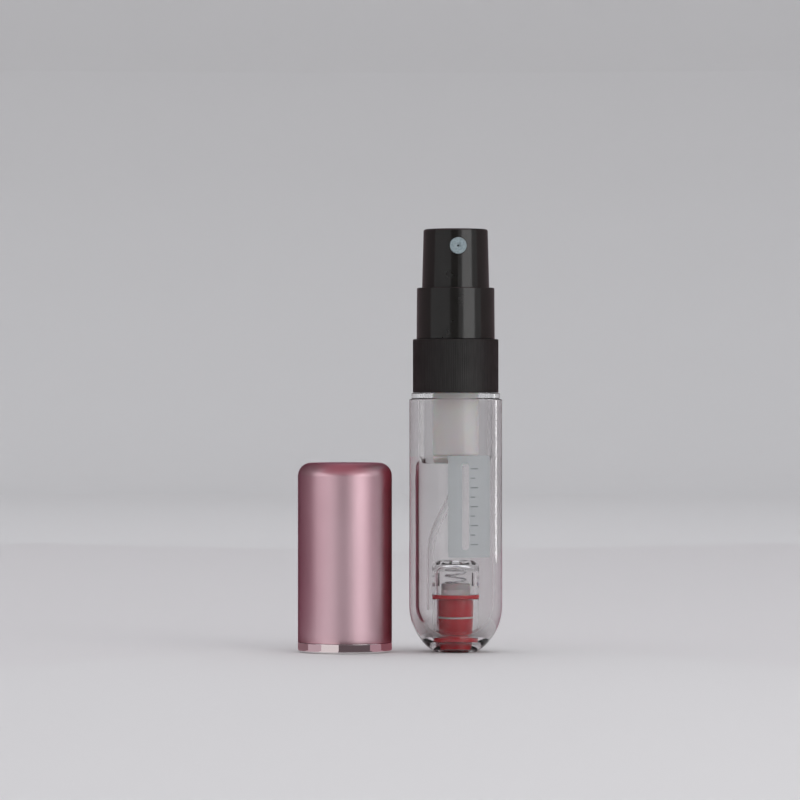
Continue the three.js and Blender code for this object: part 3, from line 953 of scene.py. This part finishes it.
def cap_liner_piece():
    """Plastic cup with fine grip ribs in its mouth."""
    radius, bottom, top = span("cap_liner")
    bore, grip_bore, grip_top, ceiling = 7.5, 7.98, 10.8, 31.6
    ribs, rib_height, rib_sharpness = 24, 0.12, 8
    rib_bottom, rib_top = bottom + 0.6, grip_top - 0.3

    def ripple(angle, r, z):
        in_grip = abs(r - grip_bore) < 0.01
        if in_grip and rib_bottom < z < rib_top:
            return -rib_height * max(0.0, math.cos(ribs * angle)) ** rib_sharpness
        return 0

    corners = [
        (0, ceiling),
        (bore, ceiling, 0.7),
        (bore, grip_top + 0.7, 0.2),
        (grip_bore, grip_top, 0.2),
        (grip_bore, grip_top - 0.5),
        (grip_bore, grip_top - 1.0),
        (grip_bore, bottom + 1.2),
        (grip_bore, bottom + 0.5),
        (grip_bore, bottom, 0.08),
        (radius, bottom, 0.05),
        (radius, top, 0.9),
        (0, top),
    ]
    mesh = revolve(corners, segments=288, ripple=ripple)
    return piece("cap_liner_cup", mesh, "cap_liner", MATERIALS["natural_plastic"], place=CAP_AXIS)


def cap_rim_piece():
    radius, bottom, top = span("cap_rim")
    bore, lip, outer_bore = 7.97, 0.8, 8.32
    round_width, round_height = 0.4, 0.7
    steps = 8
    edge = []
    for i in range(steps + 1):
        angle = math.pi / 2 * i / steps
        edge.append((
            radius - round_width + round_width * math.sin(angle),
            bottom + round_height - round_height * math.cos(angle),
        ))
    corners = [
        (bore, bottom, 0.1),
        *edge,
        (radius, top, 0.1),
        (outer_bore, top, 0.04),
        (outer_bore, bottom + lip, 0.04),
        (bore, bottom + lip, 0.1),
    ]
    mesh = revolve(corners, segments=192)
    return piece("cap_rim_polished", mesh, "cap_rim", MATERIALS["polished_metal"], place=CAP_AXIS)


# ---------------------------------------------------------------- stage, lights and camera

def stage():
    """Round pale floor that curves up into a pale wall all round."""
    flat, curve, wall = 1100.0, 500.0, 1500.0
    corners = [(0, 0), (flat, 0), (flat + curve, 0, curve * 0.9), (flat + curve, wall)]
    outline, _ = rounded(corners)
    mesh = bmesh.new()
    segments = 96
    turns = [2 * math.pi * i / segments for i in range(segments)]
    rings = []
    for r, z in outline[1:]:
        rings.append([mesh.verts.new(Vector((r * math.cos(a), r * math.sin(a), z)) * MM) for a in turns])
    mesh.faces.new(rings[0])
    for low, high in zip(rings, rings[1:]):
        for i in range(segments):
            j = (i + 1) % segments
            mesh.faces.new([low[i], low[j], high[j], high[i]])
    bmesh.ops.recalc_face_normals(mesh, faces=mesh.faces)
    floor = to_object("floor", mesh, Vector())
    material = new_material("pale_floor", (0.67, 0.66, 0.655), 0.85)
    bump(material, noise(material, 4.0), 0.01)
    floor.data.materials.append(material)


def towards(azimuth, distance, height):
    """A point round the object: azimuth 0 is at the camera, positive to the right."""
    angle = math.radians(azimuth)
    return Vector((distance * math.sin(angle), -distance * math.cos(angle), height))


def softbox(name, place, width, height, radiance):
    """A rectangular light. Its radiance is how bright it looks, with white paper at 1."""
    light = bpy.data.lights.new(name, "AREA")
    light.shape = "RECTANGLE"
    light.size = width
    light.size_y = height
    light.energy = radiance * math.pi * width * height
    lamp = bpy.data.objects.new(name, light)
    lamp.location = place
    lamp.rotation_euler = (LAMP_AIM - place).to_track_quat("-Z", "Y").to_euler()
    lamp.visible_camera = False
    bpy.context.scene.collection.objects.link(lamp)
    return lamp


def only_in_mirrors(board):
    board.visible_camera = False
    board.visible_diffuse = False
    board.visible_transmission = False
    board.visible_shadow = False


def card(name, azimuth, width, near, far, color, place=Vector()):
    """A flat card seen only in reflections, where it paints a dark or coloured reflection on shiny pieces.
    Its near and far edges are (distance, height) from a place.
    """
    side = towards(azimuth + 90, width / 2, 0)
    near_middle, far_middle = towards(azimuth, *near), towards(azimuth, *far)
    corners = [near_middle - side, near_middle + side, far_middle + side, far_middle - side]
    mesh = bmesh.new()
    mesh.faces.new([mesh.verts.new(corner) for corner in corners])
    board = to_object(name, mesh, place + Vector((0, 0, CARD_LIFT)))
    board.data.materials.append(new_material(name, color, 0.9))
    only_in_mirrors(board)


def only_on(lamp, *names):
    """Points a lamp at some pieces only."""
    lit = bpy.data.collections.new(f"{lamp.name}_only")
    for name in names:
        lit.objects.link(bpy.data.objects[name])
    lamp.light_linking.receiver_collection = lit


def painted_rim_reflection(start, end, color):
    """A stretch of a shallow glowing strip round the cap's foot, seen only in the polished rim: a painted
    reflection of light and shade in the rim.
    """
    name = f"rim_tray_{start}"
    near, far, height = 0.0088, 0.0102, 0.0019
    degrees_per_step = 5
    mesh = bmesh.new()
    steps = math.ceil((end - start) / degrees_per_step)
    rows = []
    for i in range(steps + 1):
        azimuth = start + (end - start) * i / steps
        points = [towards(azimuth, near, 0), towards(azimuth, far, 0), towards(azimuth, far, height)]
        rows.append([mesh.verts.new(point) for point in points])
    for row, after in zip(rows, rows[1:]):
        for k in range(len(row) - 1):
            mesh.faces.new([row[k], after[k], after[k + 1], row[k + 1]])
    painted_strip = to_object(name, mesh, CAP_AXIS + Vector((0, 0, 2 * CARD_LIFT)))
    painted_glow = new_material(name, (0, 0, 0), 0.9, Emission_Color=(*color, 1), Emission_Strength=1)
    painted_strip.data.materials.append(painted_glow)
    only_in_mirrors(painted_strip)


def lights():
    softbox("key", towards(40, 0.62, 0.24), 0.42, 0.52, 1.55)
    fill = softbox("fill", towards(-52, 0.75, 0.2), 0.85, 0.5, 0.8)
    only_on(
        fill, "cap_shell_pink", "cap_rim_polished", "pump_housing_frosted", "refill_socket_red",
        "valve_seat_red", "valve_poppet_cup"
    )
    edge_right = softbox("edge_right", towards(118, 0.38, 0.1), 0.05, 0.3, 6.0)
    edge_left = softbox("edge_left", towards(-96, 0.38, 0.1), 0.14, 0.3, 2.5)
    for edge in (edge_right, edge_left):
        edge.visible_transmission = False
        only_on(edge, "bottle_body", "neck_insert_clear")
    top = softbox("top", Vector((0, 0.1, 1.0)), 1.1, 1.1, 0.2)
    top.visible_glossy = False
    # The cards below are seen only in reflections: they paint dusky and rose reflections, and shade, on
    # the cap, the black pieces and the bottle.
    dusk, rose, pink = (0.27, 0.2, 0.21), (0.33, 0.13, 0.19), (0.74, 0.31, 0.37)
    for side, azimuth in (("left", -124), ("right", 124)):
        card(f"card_{side}", azimuth, 0.9, (0.45, 0), (0.45, 0.8), dusk)
        card(f"floor_{side}", azimuth, 0.9, (0.03, 0), (0.45, 0), rose)
    card("card_camera", -4, 0.4, (0.9, 0), (0.9, 0.6), (0.03, 0.03, 0.03))
    card("card_above", 0, 1.4, (-0.7, 0.9), (0.7, 0.9), pink)
    # Painted shade: this card darkens the reflection at the top of the cap's wall.
    card("card_visor", 0, 0.022, (0.0088, 0.0368), (0.022, 0.0368), pink, place=CAP_AXIS)
    # Painted reflection: a rose card between the cap and the bottle, seen only where they face each other.
    card("card_between", 90, 0.009, (0, 0), (0, 0.036), (0.5, 0.07, 0.12))
    # Painted reflection: glowing strips round the cap's foot give the polished rim its light and dark
    # patches.
    painted_rim_reflection(-180, -60, (0.22, 0.12, 0.14))
    painted_rim_reflection(-60, -34, (0.5, 0.36, 0.4))
    painted_rim_reflection(-34, -8, (0.72, 0.64, 0.65))
    painted_rim_reflection(-8, 38, (0.11, 0.08, 0.09))
    painted_rim_reflection(38, 60, (0.4, 0.24, 0.28))
    painted_rim_reflection(60, 180, (0.22, 0.08, 0.1))
    world = bpy.data.worlds.new("studio")
    bpy.context.scene.world = world
    world.use_nodes = True
    background = world.node_tree.nodes["Background"]
    background.inputs["Color"].default_value = (0.93, 0.95, 1.0, 1)
    background.inputs["Strength"].default_value = 1.2


def camera():
    data = bpy.data.cameras.new("camera")
    data.lens = LENS
    data.sensor_width = SENSOR
    eye = bpy.data.objects.new("camera", data)
    eye.location = VIEW_CENTRE + Vector((0, -VIEW_WIDTH * LENS / SENSOR, 0))
    eye.rotation_euler = (math.pi / 2, 0, 0)
    bpy.context.scene.collection.objects.link(eye)
    bpy.context.scene.camera = eye


def look():
    """Plain colours, and enough bounces for light to pass through every clear wall."""
    scene = bpy.context.scene
    scene.view_settings.view_transform = "Standard"
    scene.cycles.max_bounces = 24
    scene.cycles.transmission_bounces = 24
    scene.cycles.transparent_max_bounces = 16


camera()
look()
stage()

bottle_body()
level_gauge()
neck_insert_piece()
closure_ring_piece()
collar_sleeve_piece()
actuator_piece()
nozzle_piece()
pump_housing_piece()
pump_gasket_piece()
pump_turret_piece()
pump_stem_piece()
pump_piston_piece()
spring_piece(
    "pump_spring_coil", "pump_spring", mean_radius=2.4, wire_radius=0.22, turns=7.5,
)
inlet_ball_piece()
dip_tube_piece()
valve_sleeve_piece()
valve_cage_piece()
refill_socket_piece()
stem_seal_piece()
valve_seat_piece()
valve_poppet_piece()
spring_piece(
    "valve_spring_coil", "valve_spring", mean_radius=1.9, wire_radius=0.17, turns=4.5,
)
cap_shell_piece()
cap_liner_piece()
cap_rim_piece()
lights()
